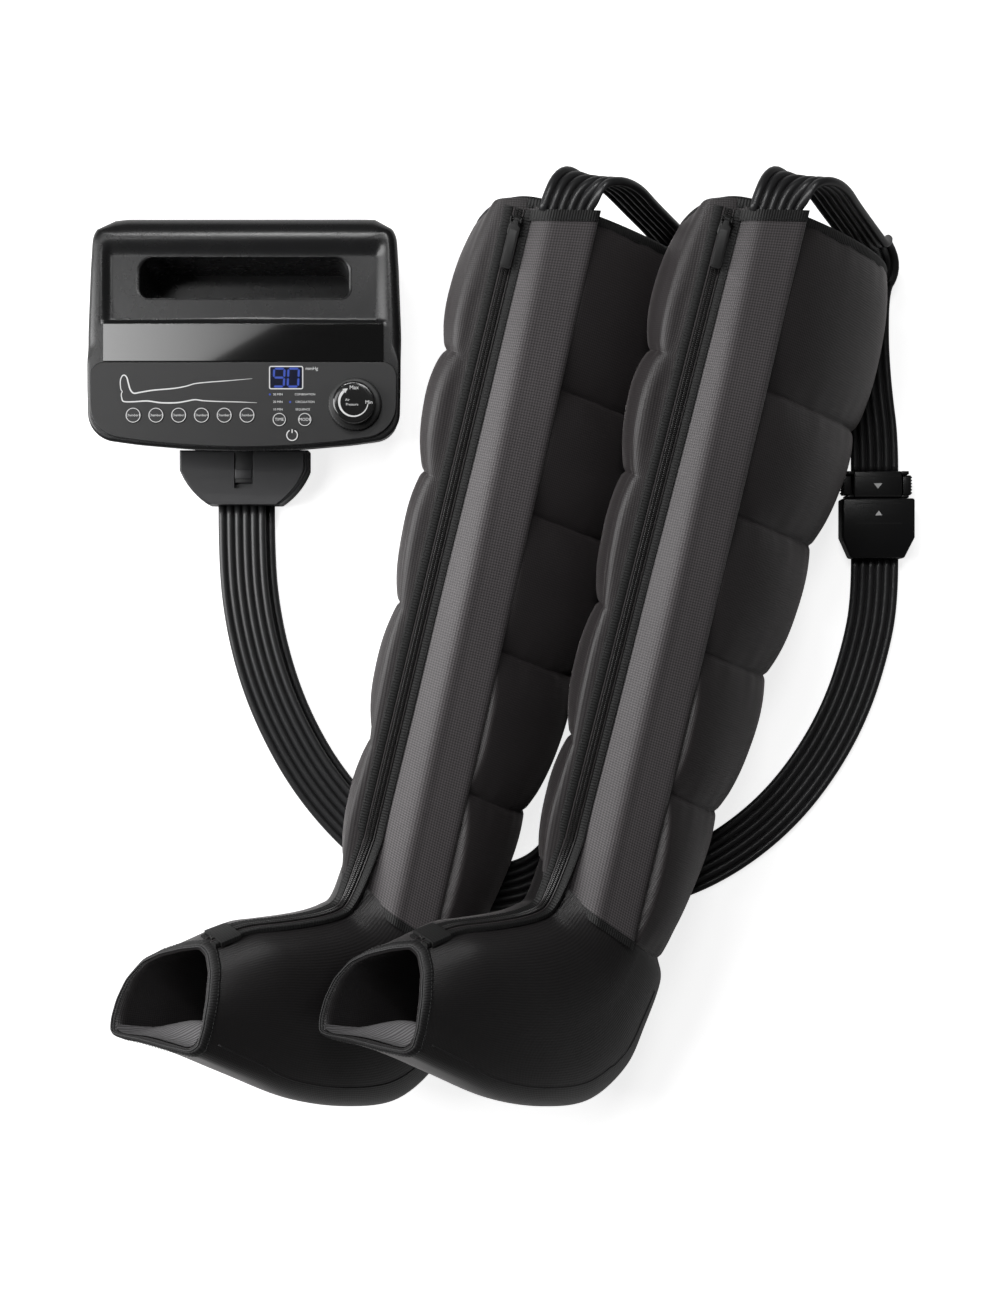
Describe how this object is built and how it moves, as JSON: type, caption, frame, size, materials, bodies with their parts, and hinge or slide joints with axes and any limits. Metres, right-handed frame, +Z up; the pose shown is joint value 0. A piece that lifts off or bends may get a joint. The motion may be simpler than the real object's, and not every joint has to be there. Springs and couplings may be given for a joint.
{
  "type": "compression therapy pump",
  "caption": "Table pump with keys, a display and a pressure knob, joined by flat tube ribbons to full length inflatable leg boots with open toes and long zips.",
  "frame": {"origin": "on the surface that the set lies on, under the middle of the box around it, without the hoses and connectors", "axes": "+Z up; +Y runs from the boots' feet towards their thigh ends and from the pump's front to its rear; +X to the right of the pump's user"},
  "size_m": [0.781, 0.8574, 0.2976],
  "materials": {
    "case": "satin",
    "console": "fine texture",
    "gloss": "gloss",
    "window": "gloss",
    "key": "satin",
    "dial_ring": "satin",
    "knob": "gloss",
    "board": "satin",
    "compressor": "cast",
    "valves": "satin",
    "rubber": "matte",
    "screw": "plain",
    "jack": "satin",
    "plug": "satin",
    "latch": "satin",
    "shaft_fabric": "smooth nylon",
    "foot_fabric": "smooth knit",
    "cover_fabric": "fine weave",
    "zip": "satin",
    "slider": "satin black",
    "pull": "ribbed tape",
    "hose": "satin",
    "connector": "satin",
    "clip": "ribbed"
  },
  "bodies": {
    "set": {"lower_case": "case", "upper_case": "case", "console_panel": "console", "gloss_band": "gloss", "display_window": "window", "main_board": "board", "dial_encoder": "dial_ring", "compressor": "compressor", "compressor_mounts": "rubber", "valve_block": "valves", "outlet_socket": "case", "rubber_feet": "rubber", "case_screws": "screw", "power_jack": "jack", "plug_body": "plug", "plug_cover": "plug", "left_foot": "foot_fabric", "left_chamber_1": "shaft_fabric", "left_chamber_2": "shaft_fabric", "left_chamber_3": "shaft_fabric", "left_chamber_4": "shaft_fabric", "left_chamber_5": "shaft_fabric", "left_hose_cover": "cover_fabric", "left_zip_chain": "zip", "left_supply_hose": "hose", "left_boot_hose": "hose", "left_joint_plug": "connector", "left_joint_socket": "connector", "right_foot": "foot_fabric", "right_chamber_1": "shaft_fabric", "right_chamber_2": "shaft_fabric", "right_chamber_3": "shaft_fabric", "right_chamber_4": "shaft_fabric", "right_chamber_5": "shaft_fabric", "right_hose_cover": "cover_fabric", "right_zip_chain": "zip", "right_supply_hose": "hose", "right_boot_hose": "hose", "right_joint_plug": "connector", "right_joint_socket": "connector"},
    "chamber_key_1": {"chamber_key_1": "key"},
    "chamber_key_2": {"chamber_key_2": "key"},
    "chamber_key_3": {"chamber_key_3": "key"},
    "chamber_key_4": {"chamber_key_4": "key"},
    "chamber_key_5": {"chamber_key_5": "key"},
    "chamber_key_6": {"chamber_key_6": "key"},
    "time_key": {"time_key": "key"},
    "mode_key": {"mode_key": "key"},
    "power_key": {"power_key": "key"},
    "pressure_knob": {"pressure_knob": "knob"},
    "plug_latch": {"plug_latch": "latch"},
    "left_zip_slider": {"left_zip_slider": "slider"},
    "left_pull_tab": {"left_pull_tab": "pull"},
    "left_joint_clip_a": {"left_joint_clip_a": "clip"},
    "left_joint_clip_b": {"left_joint_clip_b": "clip"},
    "right_zip_slider": {"right_zip_slider": "slider"},
    "right_pull_tab": {"right_pull_tab": "pull"},
    "right_joint_clip_a": {"right_joint_clip_a": "clip"},
    "right_joint_clip_b": {"right_joint_clip_b": "clip"}
  },
  "joints": [
    {"name": "chamber_key_1_press", "type": "slide", "parent": "set", "child": "chamber_key_1", "axis": [0, 0, -1], "range_m": [0, 0.0008], "stiffness_N_per_m": 300, "springref_m": -0.001},
    {"name": "chamber_key_2_press", "type": "slide", "parent": "set", "child": "chamber_key_2", "axis": [0, 0, -1], "range_m": [0, 0.0008], "stiffness_N_per_m": 300, "springref_m": -0.001},
    {"name": "chamber_key_3_press", "type": "slide", "parent": "set", "child": "chamber_key_3", "axis": [0, 0, -1], "range_m": [0, 0.0008], "stiffness_N_per_m": 300, "springref_m": -0.001},
    {"name": "chamber_key_4_press", "type": "slide", "parent": "set", "child": "chamber_key_4", "axis": [0, 0, -1], "range_m": [0, 0.0008], "stiffness_N_per_m": 300, "springref_m": -0.001},
    {"name": "chamber_key_5_press", "type": "slide", "parent": "set", "child": "chamber_key_5", "axis": [0, 0, -1], "range_m": [0, 0.0008], "stiffness_N_per_m": 300, "springref_m": -0.001},
    {"name": "chamber_key_6_press", "type": "slide", "parent": "set", "child": "chamber_key_6", "axis": [0, 0, -1], "range_m": [0, 0.0008], "stiffness_N_per_m": 300, "springref_m": -0.001},
    {"name": "time_key_press", "type": "slide", "parent": "set", "child": "time_key", "axis": [0, 0, -1], "range_m": [0, 0.0008], "stiffness_N_per_m": 300, "springref_m": -0.001},
    {"name": "mode_key_press", "type": "slide", "parent": "set", "child": "mode_key", "axis": [0, 0, -1], "range_m": [0, 0.0008], "stiffness_N_per_m": 300, "springref_m": -0.001},
    {"name": "power_key_press", "type": "slide", "parent": "set", "child": "power_key", "axis": [0, 0, -1], "range_m": [0, 0.0008], "stiffness_N_per_m": 300, "springref_m": -0.001},
    {"name": "knob_turn", "type": "hinge", "parent": "set", "child": "pressure_knob", "pos_m": [-0.1225, 0.2487, 0.1], "axis": [0, 0, -1], "range_deg": [0, 270]},
    {"name": "latch_slide", "type": "slide", "parent": "set", "child": "plug_latch", "axis": [0, -1, 0], "range_m": [0, 0.0025], "stiffness_N_per_m": 400, "springref_m": -0.001},
    {"name": "left_zip_run", "type": "slide", "parent": "set", "child": "left_zip_slider", "axis": [-0.2356, -0.9643, -0.1212], "range_m": [0, 0.54]},
    {"name": "left_pull_swing", "type": "hinge", "parent": "left_zip_slider", "child": "left_pull_tab", "pos_m": [0.0249, 0.3876, 0.2301], "axis": [-0.9714, 0.2373, 0], "range_deg": [0, 150]},
    {"name": "left_clip_a_squeeze", "type": "slide", "parent": "set", "child": "left_joint_clip_a", "axis": [-0.9748, 0.2233, 0], "range_m": [0, 0.0016], "stiffness_N_per_m": 500, "springref_m": -0.001},
    {"name": "left_clip_b_squeeze", "type": "slide", "parent": "set", "child": "left_joint_clip_b", "axis": [0.9748, -0.2233, 0], "range_m": [0, 0.0016], "stiffness_N_per_m": 500, "springref_m": -0.001},
    {"name": "right_zip_run", "type": "slide", "parent": "set", "child": "right_zip_slider", "axis": [-0.2356, -0.9643, -0.1212], "range_m": [0, 0.54]},
    {"name": "right_pull_swing", "type": "hinge", "parent": "right_zip_slider", "child": "right_pull_tab", "pos_m": [0.204, 0.3876, 0.2304], "axis": [-0.9714, 0.2373, 0], "range_deg": [0, 150]},
    {"name": "right_clip_a_squeeze", "type": "slide", "parent": "set", "child": "right_joint_clip_a", "axis": [-1, 0, 0], "range_m": [0, 0.0016], "stiffness_N_per_m": 500, "springref_m": -0.001},
    {"name": "right_clip_b_squeeze", "type": "slide", "parent": "set", "child": "right_joint_clip_b", "axis": [1, 0, 0], "range_m": [0, 0.0016], "stiffness_N_per_m": 500, "springref_m": -0.001}
  ]
}
